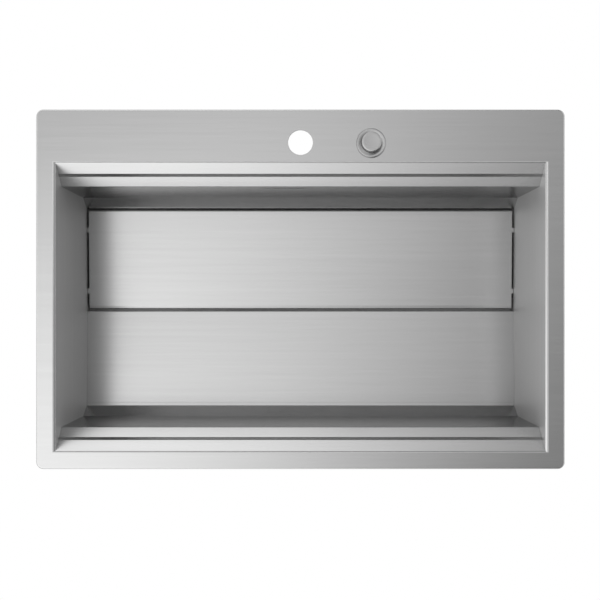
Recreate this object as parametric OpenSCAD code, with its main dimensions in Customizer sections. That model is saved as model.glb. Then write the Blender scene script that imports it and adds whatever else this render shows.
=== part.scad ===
// Inset workstation kitchen sink with a loose cover over a hidden drain.
// X runs left to right, Y front to back and Z up. The origin is at the middle of the bowl
// opening, on the worktop: the flange rests on Z = 0 and the bowl hangs below it.

/* [Flange] */
// Overall width of the flange, left to right
flange_w = 750; // [720:5:790]
// Overall depth of the flange, front to back
flange_d = 510; // [500:5:530]
// Height of the flange's top above the worktop
flange_h = 3; // [2.6:0.1:4]
// Thickness of the flange sheet
deck_t = 1.5; // [1.2:0.1:1.8]
// Outer corner radius of the flange
corner_r = 10; // [6:1:14]
// Width of the flange along the front edge
border = 25; // [24:0.5:27]
// Width of the flange at the left and right sides
side_border = 27.5; // [25:0.5:32]
// Depth of the rear deck, from the bowl opening to the rear edge
rear_deck = 75; // [70:1:95]
// Radius of the tap hole
tap_hole_r = 17.5; // [16:0.5:18]

/* [Bowl] */
// Thickness of the bowl sheet
sheet_t = 1.2; // [0.9:0.1:1.5]
// How far the top bevel of the front and rear panels runs inwards
bevel_run = 14.5; // [12:0.5:16]
// How far the top bevel drops
bevel_drop = 14; // [12:0.5:16]
// Height of the small steep step below the bevel
step_h = 7; // [4:0.5:8]
// How far the steep step runs inwards
step_run = 3.2; // [1:0.1:4]
// Run and drop of the 45 degree ledge slope below the step
slope_run = 12.8; // [11:0.1:14]
// Depth of the bowl at the front and rear of the floor, below the worktop
bowl_depth = 193; // [180:1:210]
// How far the floor falls from its front and rear edges to the slit
floor_fall = 5; // [3:0.5:6]
// How far the slanted foot of the front and rear walls runs inwards
foot_run = 14.5; // [10:0.5:18]
// Height of the slanted foot of the walls
foot_h = 24; // [18:1:30]

/* [Trough] */
// Front face of the drain trough
trough_front = -6.5; // [-10:0.5:-5]
// Fall of the trough floor from its ends to its middle
trough_fall = 6; // [4:0.5:7]
// Depth of the trough's ends below the worktop
trough_depth = 219; // [216:0.5:222]

/* [Drain cover] */
// Width of the cover plate, without its tabs
cover_w = 688; // [680:1:690]
// Thickness of the cover plate
cover_t = 1.5; // [1.2:0.1:2]
// Gap between the front edge of the cover and the fixed floor
slit_w = 3.5; // [3:0.5:5]
// Gap between the rear edge of the cover and the rear wall
rear_gap = 3; // [2.5:0.5:6]
// Outer radius of the cover's rolled front edge
lip_r = 4; // [3:0.5:5]

/* [Waste] */
// Outer radius of the waste cup's flange
cup_flange_r = 56; // [54:0.5:57]
// Inner radius of the waste cup
cup_r = 41; // [41:0.1:41.5]
// Outer radius of the outlet thread, G 1 1/2
outlet_r = 23.9; // [23.8:0.1:24]
// How far the basket lifts
basket_lift = 9; // [8:0.5:9]

/* [Remote control] */
// Distance of the control to the right of the tap hole
control_x = 100; // [90:1:130]
// Outer radius of the bezel
bezel_r = 21; // [20:0.5:23]
// Radius of the push button
button_r = 14; // [13.5:0.1:14.2]
// Height of the button's top above the flange
button_h = 15; // [12:0.5:16]

/* [Fixing] */
// Thickness of the worktop that the clamps are set for
worktop_t = 30; // [24:1:34]
// Bite of each clamp jaw under the worktop
jaw_reach = 16.5; // [12:0.5:17]

/* [Hidden] */
$fn = 48;

steel = "lightgray";
bright = "gainsboro";
rubber = "dimgray";
plastic = "darkslategray";
pad_grey = "slategray";

// Flange
bowl_w = flange_w - 2 * side_border;
bowl_d = flange_d - border - rear_deck;
flange_y = (rear_deck - border) / 2;
deck_under = flange_h - deck_t;
edge_w = 2;
tap_y = bowl_d / 2 + 28;
earth_x = -290;

// Section of the front and rear panels, from the flange down, as [Y, Z] on the rear side
bevel_slope = bevel_drop / bevel_run;
opening_y = bowl_d / 2 - deck_t / bevel_slope;
ledge_y = bowl_d / 2 - bevel_run;
ledge_z = flange_h - bevel_drop;
slope_y = ledge_y - step_run;
wall_y = slope_y - slope_run;
foot_y = wall_y - foot_run;
floor_z = -bowl_depth;
slit_z = floor_z - floor_fall;
wall_section = [
    [bowl_d / 2, flange_h],
    [ledge_y, ledge_z],
    [slope_y, ledge_z - step_h],
    [wall_y, ledge_z - step_h - slope_run],
    [wall_y, floor_z + foot_h],
    [foot_y, floor_z]
];
trough_low = -trough_depth - trough_fall;
trough_foot = trough_low - sheet_t;
rear_path = concat(wall_section, [[foot_y, trough_foot]]);
front_path = concat(
    [for (p = wall_section) [-p[0], p[1]]],
    [[trough_front, slit_z], [trough_front, trough_foot]]
);
wall_end = len(wall_section) - 1;
floor_end = len(front_path) - 1;

// Trough floor, as [X, Z] from the left end to the right end
trough_flat_x = 280;
trough_mid_x = 75;
trough_path = [
    [-bowl_w / 2, -trough_depth], [-trough_flat_x, -trough_depth], [-trough_mid_x, trough_low],
    [trough_mid_x, trough_low], [trough_flat_x, -trough_depth], [bowl_w / 2, -trough_depth]
];
waste_y = (foot_y + trough_front) / 2;

// Drain cover
cover_front = trough_front + slit_w;
cover_rear = foot_y - rear_gap;
cover_low = slit_z - 1;
cover_roll_y = cover_front + lip_r;
cover_slope = (floor_z - cover_low) / (cover_rear - cover_roll_y);
cover_skirt = 8;
tab_ys = [26, 125];
tab_w = 8;
tab_gap = 0.6;
leg_x = 300;
leg_z = -trough_depth + 2;
foot_ys = [22, 134];
roll_steps = 6;
cover_path = concat(
    [[cover_rear, floor_z - cover_skirt], [cover_rear, floor_z]],
    [for (i = [0:roll_steps])
        let (a = 90 + 90 * i / roll_steps)
        [cover_roll_y + lip_r * cos(a), cover_low - lip_r + lip_r * sin(a)]],
    [[cover_front, cover_low - lip_r - 5]]
);

// Waste, measured down from the pressed seat in the trough floor
seat_r = cup_flange_r + 4;
seat_hole_r = 46;
seat_z = trough_low - 3.5;
seal_t = 1;
cup_t = 1.2;
cup_flange_t = 1.5;
cup_floor = seat_z - 35.5;
cup_under = cup_floor - cup_t;
gasket_t = 3;
body_top = seat_z - sheet_t - gasket_t;
body_r = 47.5;
body_in_r = 44.5;
body_z = cup_under - 31;
body_under = body_z - 4;
outlet_bore = outlet_r - 3.4;
outlet_end = body_z - 34;
port_z = cup_floor + 2;
port_end = 62;
pin_r = 2.5;
screw_r = 4.9;
screw_head_r = 8.5;
screw_end = cup_under - 11;
basket_z = cup_floor + 3;
rest_gap = 0.1;

// Lever gear: the finger and the crank swing evenly to both sides of their middles
swing = 15;
button_travel = 6;
finger_r = basket_lift / (2 * sin(swing));
crank_r = button_travel / (2 * sin(swing));
spindle_y = waste_y + finger_r * cos(swing);
spindle_z = cup_under - 22;
spindle_r = 3;
finger_tip_z = spindle_z - finger_r * sin(swing);
finger_tip_r = 2.5;
pin_end = finger_tip_z + finger_tip_r + 0.3;
crank_y = spindle_y + crank_r * sin(swing);
crank_z = spindle_z - crank_r * cos(swing);
housing_x = 58;
housing_l = 24;
housing_wall = 2;
housing_rear = spindle_y + 24;
housing_front = spindle_y - 14;
housing_top = spindle_z + 14;
housing_low = spindle_z - 22;
crank_x = housing_x + 8;
wire_x = crank_x + 5.5;

// Overflow in the rear wall
overflow_x = -22;
overflow_z = -50;
slot_w = 60;
slot_r = 4;
wall_back = wall_y + sheet_t;
collector_gasket_t = 2;
collector_y = wall_back + collector_gasket_t;
collector_d = 30;
spigot_y = collector_y + 20;
spigot_z = overflow_z - 26;
hose_r = 9;
cuff_r = 11;
cuff_l = 16;
hose_route = [
    [overflow_x, spigot_y, spigot_z - cuff_l], [overflow_x, spigot_y + 1, -112],
    [overflow_x, 208, -150], [-21, 213, -190], [-18, 208, -226], [-12, 190, -250],
    [-5, 172, port_z], [0, waste_y + port_end + cuff_l, port_z]
];

// Remote control
control_hole_r = 17.5;
shank_r = 16.5;
button_fit = 0.05;
gasket_h = 0.8;
bezel_z = flange_h + gasket_h;
bezel_h = 2.5;
shank_floor = -42;
shank_end = -46;
socket_end = -52;
ferrule_l = 14;
plunger_r = 3;
spring_r = 8;
spring_wire = 0.7;
spring_turns = 9;
sheath_r = 2.5;
ferrule_r = 4.5;
control_y = bowl_d / 2 + 27;
cable_route = [
    [control_x, control_y, socket_end - ferrule_l], [control_x, control_y, -90],
    [control_x, control_y, -130], [control_x - 2, control_y - 1, -175], [control_x - 6, 226, -215],
    [control_x - 13, 212, -250], [control_x - 21, 190, -279], [control_x - 27, 163, -295],
    [wire_x, 145, crank_z], [wire_x, housing_rear + ferrule_l, crank_z]
];

// Clamps and rails under the flange
rail_in = 17.5;
rail_w = 10;
rail_h = 11.5;
rail_t = 1.5;
rail_slot = 5.4;
rail_x = flange_w / 2 - rail_in;
rail_front = bowl_d / 2 + border - rail_in;
rail_rear = bowl_d / 2 + rear_deck - rail_in;
side_clamps = 130;
wide_clamps = 250;
clamps = [
    [rail_x, -side_clamps, 0], [rail_x, side_clamps, 0],
    [-rail_x, -side_clamps, 180], [-rail_x, side_clamps, 180],
    [-wide_clamps, -rail_front, -90], [0, -rail_front, -90], [wide_clamps, -rail_front, -90],
    [-wide_clamps, rail_rear, 90], [wide_clamps, rail_rear, 90]
];
clamp_screw_r = 2.45;
clamp_screw_end = -worktop_t - 22;
jaw_top = -worktop_t + 3;
pad_t = 2;

// Unit vector, its left-hand normal, and the mitred offset direction at a path's point
function along(a, b) = (b - a) / norm(b - a);
function left_of(d) = [-d[1], d[0]];
function mitre(path, i) =
    let (
        last = len(path) - 1,
        before = left_of(along(path[max(i - 1, 0)], path[max(i, 1)])),
        after = left_of(along(path[min(i, last - 1)], path[min(i + 1, last)]))
    )
    (before + after) / (1 + before * after);

// Section of a folded sheet between two points of a path, thickened to the left by t
module sheet_section(path, t, first, last) {
    face = [for (i = [first:last]) path[i]];
    back = [for (i = [last:-1:first]) path[i] + t * mitre(path, i)];
    polygon(concat(face, back));
}

module extrude_x(length) {
    rotate([90, 0, 90]) linear_extrude(length, center = true) children();
}

module extrude_y(length) {
    rotate([90, 0, 0]) linear_extrude(length, center = true) children();
}

module rounded_rect(w, d, r) {
    square([w - 2 * r, d], center = true);
    square([w, d - 2 * r], center = true);
    for (x = [-1, 1], y = [-1, 1])
        translate([x * (w / 2 - r), y * (d / 2 - r)]) circle(r);
}

module tube(outer, inner, low, high) {
    translate([0, 0, low]) difference() {
        cylinder(h = high - low, r = outer);
        translate([0, 0, -1]) cylinder(h = high - low + 2, r = inner);
    }
}

module rod(r, low, high) {
    translate([0, 0, low]) cylinder(h = high - low, r = r);
}

// Smooth curve through a route's points, with n steps from each point to the next
function between(a, b, c, d, u) =
    0.5 * (2 * b + (c - a) * u + (2 * a - 5 * b + 4 * c - d) * u * u
        + (3 * b - a - 3 * c + d) * u * u * u);
function smooth_route(pts, n) =
    let (last = len(pts) - 1)
    concat(
        [for (i = [0:last - 1], k = [0:n - 1])
            between(pts[max(i - 1, 0)], pts[i], pts[i + 1], pts[min(i + 2, last)], k / n)],
        [pts[last]]
    );
function heading(path, i) =
    let (last = len(path) - 1) along(path[max(min(i, last) - 1, 0)], path[min(i + 1, last)]);
function square_to(v, t) = let (flat = v - (v * t) * t) flat / norm(flat);

// Tube of a given radius along a route
module swept_tube(route, r, sides) {
    last = len(route) - 1;
    across = [
        for (i = 0, v = square_to([1, 0.1, 0], heading(route, 0)); i <= last;
            i = i + 1, v = square_to(v, heading(route, i))) v
    ];
    points = [
        for (i = [0:last], s = [0:sides - 1])
            let (a = 360 * s / sides, t = heading(route, i))
            route[i] + r * (cos(a) * across[i] + sin(a) * cross(t, across[i]))
    ];
    skin = [
        for (i = [0:last - 1], s = [0:sides - 1])
            let (n = (s + 1) % sides)
            [i * sides + s, (i + 1) * sides + s, (i + 1) * sides + n, i * sides + n]
    ];
    start_cap = [for (s = [0:sides - 1]) s];
    end_cap = [for (s = [sides - 1:-1:0]) last * sides + s];
    polyhedron(points, concat(skin, [start_cap, end_cap]), convexity = 4);
}

// --- Welded shell ---

module deck_plate() {
    past = 1;
    color(steel) difference() {
        translate([0, flange_y, 0]) linear_extrude(flange_h)
            rounded_rect(flange_w, flange_d, corner_r);
        translate([0, flange_y, -past]) linear_extrude(deck_under + past)
            rounded_rect(flange_w - 2 * edge_w, flange_d - 2 * edge_w, corner_r - edge_w);
        extrude_x(bowl_w) polygon([
            [-opening_y, -past], [opening_y, -past], [opening_y, deck_under],
            [bowl_d / 2 + past / bevel_slope, flange_h + past],
            [-bowl_d / 2 - past / bevel_slope, flange_h + past], [-opening_y, deck_under]
        ]);
        translate([0, tap_y, 0]) rod(tap_hole_r, -past, flange_h + past);
        translate([control_x, control_y, 0]) rod(control_hole_r, -past, flange_h + past);
    }
}

// Keeps what lies below the deck sheet
module below_deck() {
    intersection() {
        children();
        translate([-flange_w, -2 * flange_w + deck_under]) square(2 * flange_w);
    }
}

module front_panel() {
    color(steel) extrude_x(bowl_w) below_deck()
        sheet_section(front_path, -sheet_t, 0, wall_end);
}

module rear_panel() {
    color(steel) difference() {
        extrude_x(bowl_w) below_deck()
            sheet_section(rear_path, sheet_t, 0, len(rear_path) - 1);
        for (side = [-1, 1])
            translate([overflow_x + side * (slot_w / 2 - slot_r), wall_y - 2, overflow_z])
                rotate([-90, 0, 0]) cylinder(h = 6, r = slot_r);
        translate([overflow_x - slot_w / 2 + slot_r, wall_y - 2, overflow_z - slot_r])
            cube([slot_w - 2 * slot_r, 6, 2 * slot_r]);
    }
}

module front_floor() {
    color(steel) extrude_x(bowl_w)
        sheet_section(front_path, -sheet_t, wall_end, floor_end);
}

module trough_floor() {
    color(steel) {
        difference() {
            translate([0, waste_y, 0]) extrude_y(foot_y - trough_front)
                sheet_section(trough_path, -sheet_t, 0, len(trough_path) - 1);
            translate([0, waste_y, 0]) rod(seat_r, trough_foot - 1, trough_low + 1);
        }
        translate([0, waste_y, 0]) {
            tube(seat_r + sheet_t, seat_r, seat_z - sheet_t, trough_low);
            tube(seat_r + sheet_t, seat_hole_r, seat_z - sheet_t, seat_z);
        }
    }
}

module end_plate() {
    rear = [for (i = [0:len(rear_path) - 1]) rear_path[i] + sheet_t * mitre(rear_path, i)];
    front = [for (i = [wall_end:-1:0]) front_path[i] - sheet_t * mitre(front_path, i)];
    fold = [for (i = [floor_end:-1:wall_end + 1]) front_path[i] - sheet_t * mitre(front_path, i)];
    rotate([90, 0, 90]) linear_extrude(sheet_t)
        below_deck() polygon(concat(rear, fold, front));
}

module left_end_plate() {
    color(steel) translate([-bowl_w / 2 - sheet_t, 0, 0]) end_plate();
}

module right_end_plate() {
    color(steel) translate([bowl_w / 2, 0, 0]) end_plate();
}

module deck_stiffener() {
    low = deck_under - 2;
    color(steel) difference() {
        translate([-70, bowl_d / 2 + 4, low]) cube([220, rail_rear - rail_w - bowl_d / 2, 2]);
        translate([0, tap_y, 0]) rod(tap_hole_r + 4.5, low - 1, deck_under + 1);
        translate([control_x, control_y, 0]) rod(24, low - 1, deck_under + 1);
    }
}

module rail_section() {
    translate([0, deck_under - rail_h / 2]) difference() {
        square([rail_w, rail_h], center = true);
        square([rail_w - 2 * rail_t, rail_h - 2 * rail_t], center = true);
        translate([-rail_slot / 2, -rail_h]) square([rail_slot, rail_h]);
    }
}

module clip_rails() {
    side_l = 380;
    wide_l = 660;
    color(steel) {
        for (side = [-1, 1]) translate([side * rail_x, 0, 0]) extrude_y(side_l) rail_section();
        translate([0, -rail_front, 0]) extrude_x(wide_l) rail_section();
        translate([0, rail_rear, 0]) extrude_x(wide_l) rail_section();
    }
}

// Angle tab below the deck, with the hole for the earth bolt in its lower leg
module earth_tab() {
    w = 20;
    t = 1.2;
    drop = 14;
    leg = 17;
    color(steel) translate([earth_x - w / 2, tap_y, deck_under - drop]) difference() {
        union() {
            cube([w, t, drop]);
            cube([w, leg, t]);
        }
        translate([w / 2, t + 8, -1]) cylinder(h = t + 2, r = 2.6);
    }
}

// --- Drain cover ---

function cover_top(y) = cover_low + (y - cover_roll_y) * cover_slope;
function cover_under(y) = cover_top(y) - cover_t * sqrt(1 + cover_slope * cover_slope);

module drain_cover() {
    tab_l = (bowl_w - cover_w) / 2 - tab_gap;
    color(bright) {
        extrude_x(cover_w) sheet_section(cover_path, cover_t, 0, len(cover_path) - 1);
        for (side = [-1, 1], y = tab_ys)
            translate([side * (cover_w + tab_l) / 2, 0, 0]) extrude_x(tab_l) polygon([
                [y - tab_w / 2, cover_top(y - tab_w / 2)], [y + tab_w / 2, cover_top(y + tab_w / 2)],
                [y + tab_w / 2, cover_under(y + tab_w / 2)], [y - tab_w / 2, cover_under(y - tab_w / 2)]
            ]);
    }
}

// Two angle-section legs, each with a web under the plate and a foot flange
module cover_legs() {
    web = 1.5;
    foot_w = 14;
    ends = [12, 144];
    color(bright) for (side = [-1, 1]) translate([side * leg_x, 0, 0]) {
        extrude_x(web) polygon([
            [ends[0], leg_z], [ends[1], leg_z],
            [ends[1], cover_under(ends[1])], [ends[0], cover_under(ends[0])]
        ]);
        translate([side > 0 ? -foot_w : 0, ends[0], leg_z]) cube([foot_w, ends[1] - ends[0], web]);
    }
}

module cover_feet() {
    foot = [12, 22];
    low = -trough_depth + rest_gap;
    color(rubber) for (side = [-1, 1], y = foot_ys)
        translate([side * (leg_x - 7), y, low]) linear_extrude(leg_z - low)
            rounded_rect(foot[0], foot[1], 3);
}

// --- Waste ---

module at_waste() {
    translate([0, waste_y, 0]) children();
}

module waste_cup() {
    hole_r = 3.6;
    hole_ring = 15;
    color(bright) at_waste() difference() {
        rotate_extrude() polygon([
            [screw_r + 0.3, cup_under], [cup_r + cup_t, cup_under],
            [cup_r + cup_t, seat_z + seal_t], [cup_flange_r, seat_z + seal_t],
            [cup_flange_r, seat_z + seal_t + cup_flange_t - 0.6],
            [cup_flange_r - 3, seat_z + seal_t + cup_flange_t],
            [cup_r, seat_z + seal_t + cup_flange_t - 0.4], [cup_r, cup_floor],
            [screw_r + 0.3, cup_floor]
        ]);
        for (i = [0:7]) rotate(i * 45) translate([hole_ring, 0, 0])
            rod(hole_r, cup_under - 1, cup_floor + 1);
    }
}

module cup_seal() {
    color(rubber) at_waste() tube(cup_flange_r - 1, seat_hole_r, seat_z, seat_z + seal_t);
}

module body_gasket() {
    color(rubber) at_waste() tube(cup_flange_r - 1, seat_hole_r, body_top, body_top + gasket_t);
}

module waste_body() {
    wall = 3;
    lip = 4.5;
    boss_r = 9;
    gland_r = 8;
    port_r = 10;
    port_bore = 7.5;
    color(plastic) difference() {
        union() {
            at_waste() rotate_extrude() polygon([
                [body_in_r, body_top], [cup_flange_r - 1, body_top], [cup_flange_r - 1, body_top - lip],
                [body_r, body_top - lip], [body_r, body_z], [body_r - 3, body_under],
                [outlet_bore, body_under], [outlet_bore, body_under + wall], [body_in_r, body_z + 1]
            ]);
            at_waste() rod(boss_r, cup_under - 12, cup_under);
            at_waste() for (a = [45:90:315]) rotate(a)
                translate([boss_r - 2, -1.5, cup_under - 10]) cube([body_in_r - boss_r + 3, 3, 8]);
            translate([body_in_r - 3.5, spindle_y, spindle_z]) rotate([0, 90, 0])
                cylinder(h = housing_x - body_in_r + 3.5, r = gland_r);
            at_waste() translate([0, body_in_r + 0.5, port_z]) rotate([-90, 0, 0])
                cylinder(h = port_end - body_in_r - 0.5, r = port_r);
        }
        at_waste() rod(screw_r + 0.1, cup_under - 13, cup_under + 1);
        translate([30, spindle_y, spindle_z]) rotate([0, 90, 0])
            cylinder(h = 30, r = spindle_r + 0.05);
        translate([housing_x - 5, spindle_y, spindle_z]) rotate([0, 90, 0])
            cylinder(h = 6, r = 5);
        at_waste() translate([0, body_in_r - 3, port_z]) rotate([-90, 0, 0])
            cylinder(h = 30, r = port_bore);
    }
}

module outlet_spigot() {
    collar_r = 28;
    collar_h = 3;
    color(plastic) at_waste() rotate_extrude() polygon([
        [outlet_bore, body_under], [collar_r, body_under], [collar_r, body_under - collar_h],
        [outlet_r, body_under - collar_h], [outlet_r, outlet_end], [outlet_bore, outlet_end]
    ]);
}

module fixing_screw() {
    head_h = 2.5;
    bore = pin_r + 0.3;
    color(bright) at_waste() difference() {
        union() {
            rod(screw_r, screw_end, cup_floor + 0.5);
            rod(screw_head_r, cup_floor, cup_floor + head_h);
        }
        rod(bore, screw_end - 1, cup_floor + head_h + 1);
        translate([-screw_head_r - 1, -0.75, cup_floor + head_h - 1])
            cube([2 * screw_head_r + 2, 1.5, 2]);
    }
}

module strainer_basket() {
    out_r = 38.5;
    t = 0.8;
    rim_z = seat_z - 1.5;
    slots = 20;
    color(bright) at_waste() difference() {
        rotate_extrude() polygon([
            [pin_r + 0.1, basket_z], [out_r - 2, basket_z], [out_r, basket_z + 2],
            [out_r, rim_z - t], [out_r + 1.8, rim_z - t], [out_r + 1.8, rim_z],
            [out_r - t, rim_z], [out_r - t, basket_z + 2 + t / 2], [out_r - 2 - t / 2, basket_z + t],
            [pin_r + 0.1, basket_z + t]
        ]);
        for (i = [0:slots - 1]) rotate(i * 360 / slots)
            translate([out_r - 3, -1.25, basket_z + 7]) cube([6, 2.5, 16]);
        for (i = [0:11]) rotate(i * 30) translate([31, 0, 0])
            rod(1.5, basket_z - 1, basket_z + 2);
    }
}

module basket_seal() {
    color(rubber) at_waste() rotate_extrude() polygon([
        [10, basket_z - 1.5], [20, basket_z - 1.5], [21, cup_floor + rest_gap],
        [24, cup_floor + rest_gap], [26, basket_z - 1], [26, basket_z], [10, basket_z]
    ]);
}

module basket_post() {
    knob_z = seat_z + 6;
    color(bright) at_waste() rotate_extrude() polygon([
        [0, pin_end], [pin_r, pin_end], [pin_r, basket_z + 0.8], [7, basket_z + 0.8],
        [7, basket_z + 2.6], [3.5, basket_z + 4], [3.5, knob_z - 4], [9, knob_z - 2],
        [10, knob_z - 1], [9, knob_z + 1], [0, knob_z + 1.6]
    ]);
}

// Shaft with the finger under the lift pin at one end and the cable's crank at the other
module lift_spindle() {
    finger_w = 6;
    arm_w = 6;
    crank_w = 4;
    shaft_l = housing_x + housing_l - 3;
    color(bright) translate([0, spindle_y, spindle_z]) {
        translate([-finger_w / 2, 0, 0]) rotate([0, 90, 0])
            cylinder(h = shaft_l + finger_w / 2, r = spindle_r);
        rotate([swing, 0, 0]) {
            translate([-finger_w / 2, -finger_r, -arm_w / 4]) cube([finger_w, finger_r, arm_w / 2]);
            translate([-finger_w / 2, -finger_r, 0]) rotate([0, 90, 0])
                cylinder(h = finger_w, r = finger_tip_r);
        }
        translate([crank_x, 0, 0]) rotate([swing, 0, 0]) {
            translate([0, -arm_w / 2, -crank_r]) cube([crank_w, arm_w, crank_r]);
            translate([0, 0, -crank_r]) rotate([0, 90, 0]) cylinder(h = crank_w, r = arm_w / 2);
            translate([0, 0, -crank_r]) rotate([0, 90, 0]) cylinder(h = crank_w + 4, r = 1.5);
        }
    }
}

module spindle_seal() {
    color(rubber) translate([housing_x - 5, spindle_y, spindle_z]) rotate([0, 90, 0])
        tube(4.9, spindle_r + 0.1, 0, 4);
}

module lever_housing() {
    depth = housing_rear - housing_front;
    height = housing_top - housing_low;
    ear = [4, 6, 8];
    color(plastic) difference() {
        union() {
            translate([housing_x, housing_front, housing_low]) cube([housing_l, depth, height]);
            for (y = [housing_front - ear[1], housing_rear], z = [spindle_z + 2])
                translate([housing_x + housing_l - ear[0], y, z]) cube(ear);
        }
        translate([housing_x + housing_wall, housing_front + housing_wall, housing_low + housing_wall])
            cube([housing_l, depth - 2 * housing_wall, height - 2 * housing_wall]);
        translate([housing_x - 1, spindle_y, spindle_z]) rotate([0, 90, 0])
            cylinder(h = housing_wall + 2, r = spindle_r + 0.5);
        translate([wire_x + 2, housing_rear - housing_wall - 1, crank_z]) rotate([-90, 0, 0])
            cylinder(h = housing_wall + 2, r = 1.8);
        for (y = [housing_front - ear[1] / 2, housing_rear + ear[1] / 2])
            translate([housing_x + housing_l - ear[0] - 1, y, spindle_z + 6]) rotate([0, 90, 0])
                cylinder(h = ear[0] + 2, r = 1.6);
    }
}

module housing_cover() {
    t = 2;
    ear_y = 6;
    x = housing_x + housing_l;
    color(plastic) difference() {
        union() {
            translate([x, housing_front, housing_low])
                cube([t, housing_rear - housing_front, housing_top - housing_low]);
            translate([x, housing_front - ear_y, spindle_z + 2])
                cube([t, housing_rear - housing_front + 2 * ear_y, 8]);
            translate([x - 6, spindle_y, spindle_z]) rotate([0, 90, 0]) cylinder(h = 7, r = 6);
        }
        translate([x - 7, spindle_y, spindle_z]) rotate([0, 90, 0])
            cylinder(h = 7.5, r = spindle_r + 0.05);
        for (y = [housing_front - ear_y / 2, housing_rear + ear_y / 2])
            translate([x - 1, y, spindle_z + 6]) rotate([0, 90, 0]) cylinder(h = t + 2, r = 1.6);
    }
}

module housing_screws() {
    x = housing_x + housing_l + 2;
    color(bright) for (y = [housing_front - 3, housing_rear + 3])
        translate([x, y, spindle_z + 6]) rotate([0, 90, 0]) {
            rod(1.5, -7, 0.5);
            difference() {
                rod(2.8, 0, 1.8);
                translate([-3, -0.4, 1]) cube([6, 0.8, 2]);
            }
        }
}

// Slotted block that takes the crank's pin, on the end of the cable's core
module wire_end() {
    block = [3, 8, 10];
    color(bright) translate([wire_x + 2, crank_y, crank_z]) {
        difference() {
            translate([-block[0] / 2, -block[1] / 2, -block[2] / 2]) cube(block);
            translate([-block[0], -1.9, -2.4]) cube([2 * block[0], 3.8, 4.8]);
        }
        rotate([-90, 0, 0]) rod(1, block[1] / 2 - 0.2, housing_rear - crank_y + 8);
    }
}

// --- Overflow ---

module overflow_collector() {
    w = 84;
    h = 34;
    wall = 2;
    low = overflow_z - h / 2;
    color(plastic) difference() {
        union() {
            translate([overflow_x - w / 2, collector_y, low]) cube([w, collector_d, h]);
            translate([overflow_x, spigot_y, 0]) rod(7, spigot_z, low + 1);
        }
        translate([overflow_x - slot_w / 2 - 2, collector_y - 1, low + wall])
            cube([slot_w + 4, collector_d - wall + 1, h - 2 * wall]);
        translate([overflow_x, spigot_y, 0]) rod(5.5, spigot_z - 1, low + wall + 1);
    }
}

module collector_gasket() {
    color(rubber) translate([overflow_x, wall_back, overflow_z]) rotate([-90, 0, 0])
        linear_extrude(collector_gasket_t) difference() {
            square([84, 34], center = true);
            square([slot_w + 4, 20], center = true);
        }
}

module collector_screws() {
    color(bright) for (side = [-1, 1])
        translate([overflow_x + side * (slot_w / 2 + 7), collector_y + collector_d, overflow_z])
            rotate([-90, 0, 0]) difference() {
                rod(4, 0, 2.4);
                translate([-5, -0.5, 1.4]) cube([10, 1, 2]);
            }
}

module overflow_hose() {
    color(plastic) swept_tube(smooth_route(hose_route, 4), hose_r, 12);
}

module hose_cuffs() {
    color(rubber) {
        translate([overflow_x, spigot_y, 0]) rod(cuff_r, spigot_z - cuff_l, spigot_z);
        translate([0, waste_y + port_end, port_z]) rotate([-90, 0, 0]) rod(cuff_r, 0, cuff_l);
    }
}

// --- Remote control ---

module at_control() {
    translate([control_x, control_y, 0]) children();
}

module control_bezel() {
    top = bezel_z + bezel_h;
    bore = button_r + button_fit + 0.05;
    color(bright) at_control() rotate_extrude() polygon([
        [bore, bezel_z], [bezel_r, bezel_z], [bezel_r, bezel_z + 0.9], [bezel_r - 0.6, bezel_z + 1.5],
        [bore + 2, top], [bore + 0.5, top], [bore, top - 0.4]
    ]);
}

module push_button() {
    top = flange_h + button_h;
    skirt = -12;
    wall = 2;
    color(bright) at_control() rotate_extrude() polygon([
        [0, -36], [plunger_r, -36], [plunger_r, top - 3.5], [button_r - wall, top - 3.5],
        [button_r - wall, skirt], [button_r, skirt], [button_r, top - 1.2], [button_r - 0.4, top - 0.4],
        [button_r - 1.2, top], [button_r - 4, top - 0.2], [0, top - 0.6]
    ]);
}

module control_body() {
    color(plastic) at_control() difference() {
        union() {
            rod(shank_r, shank_end, bezel_z);
            rod(6, socket_end, shank_end + 1);
        }
        rod(button_r + button_fit, shank_floor, bezel_z + 1);
        rod(plunger_r + 0.3, socket_end - 1, shank_floor + 1);
    }
}

module control_gasket() {
    color(rubber) at_control() tube(bezel_r - 1, shank_r + 0.3, flange_h, bezel_z);
}

module control_nut() {
    color(plastic) at_control() translate([0, 0, deck_under - 7]) difference() {
        cylinder(h = 7, r = 22, $fn = 6);
        translate([0, 0, -1]) cylinder(h = 9, r = shank_r + 0.05);
    }
}

module control_spring() {
    low = shank_floor + spring_wire;
    high = flange_h + button_h - 3.5 - spring_wire;
    per_turn = 14;
    steps = spring_turns * per_turn;
    coil = [
        for (i = [0:steps])
            [spring_r * cos(360 * i / per_turn), spring_r * sin(360 * i / per_turn),
                low + (high - low) * i / steps]
    ];
    color(bright) at_control() swept_tube(coil, spring_wire, 6);
}

module cable_sheath() {
    color(plastic) swept_tube(smooth_route(cable_route, 4), sheath_r, 10);
}

module cable_ferrules() {
    core_r = 1.4;
    color(bright) {
        at_control() rod(ferrule_r, socket_end - ferrule_l, socket_end);
        translate([wire_x, housing_rear, crank_z]) rotate([-90, 0, 0]) difference() {
            rod(ferrule_r, 0, ferrule_l);
            translate([2, 0, 0]) rod(core_r, -1, ferrule_l - 3);
        }
    }
}

// --- Fixing and trim ---

module rim_seal() {
    inset = 3;
    seal_w = 8;
    color(rubber) translate([0, flange_y, 0]) linear_extrude(deck_under) difference() {
        rounded_rect(flange_w - 2 * inset, flange_d - 2 * inset, corner_r - inset);
        square([flange_w - 2 * (inset + seal_w), flange_d - 2 * (inset + seal_w)], center = true);
    }
}

module at_clamps() {
    for (c = clamps) translate([c[0], c[1], 0]) rotate(c[2]) children();
}

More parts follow.
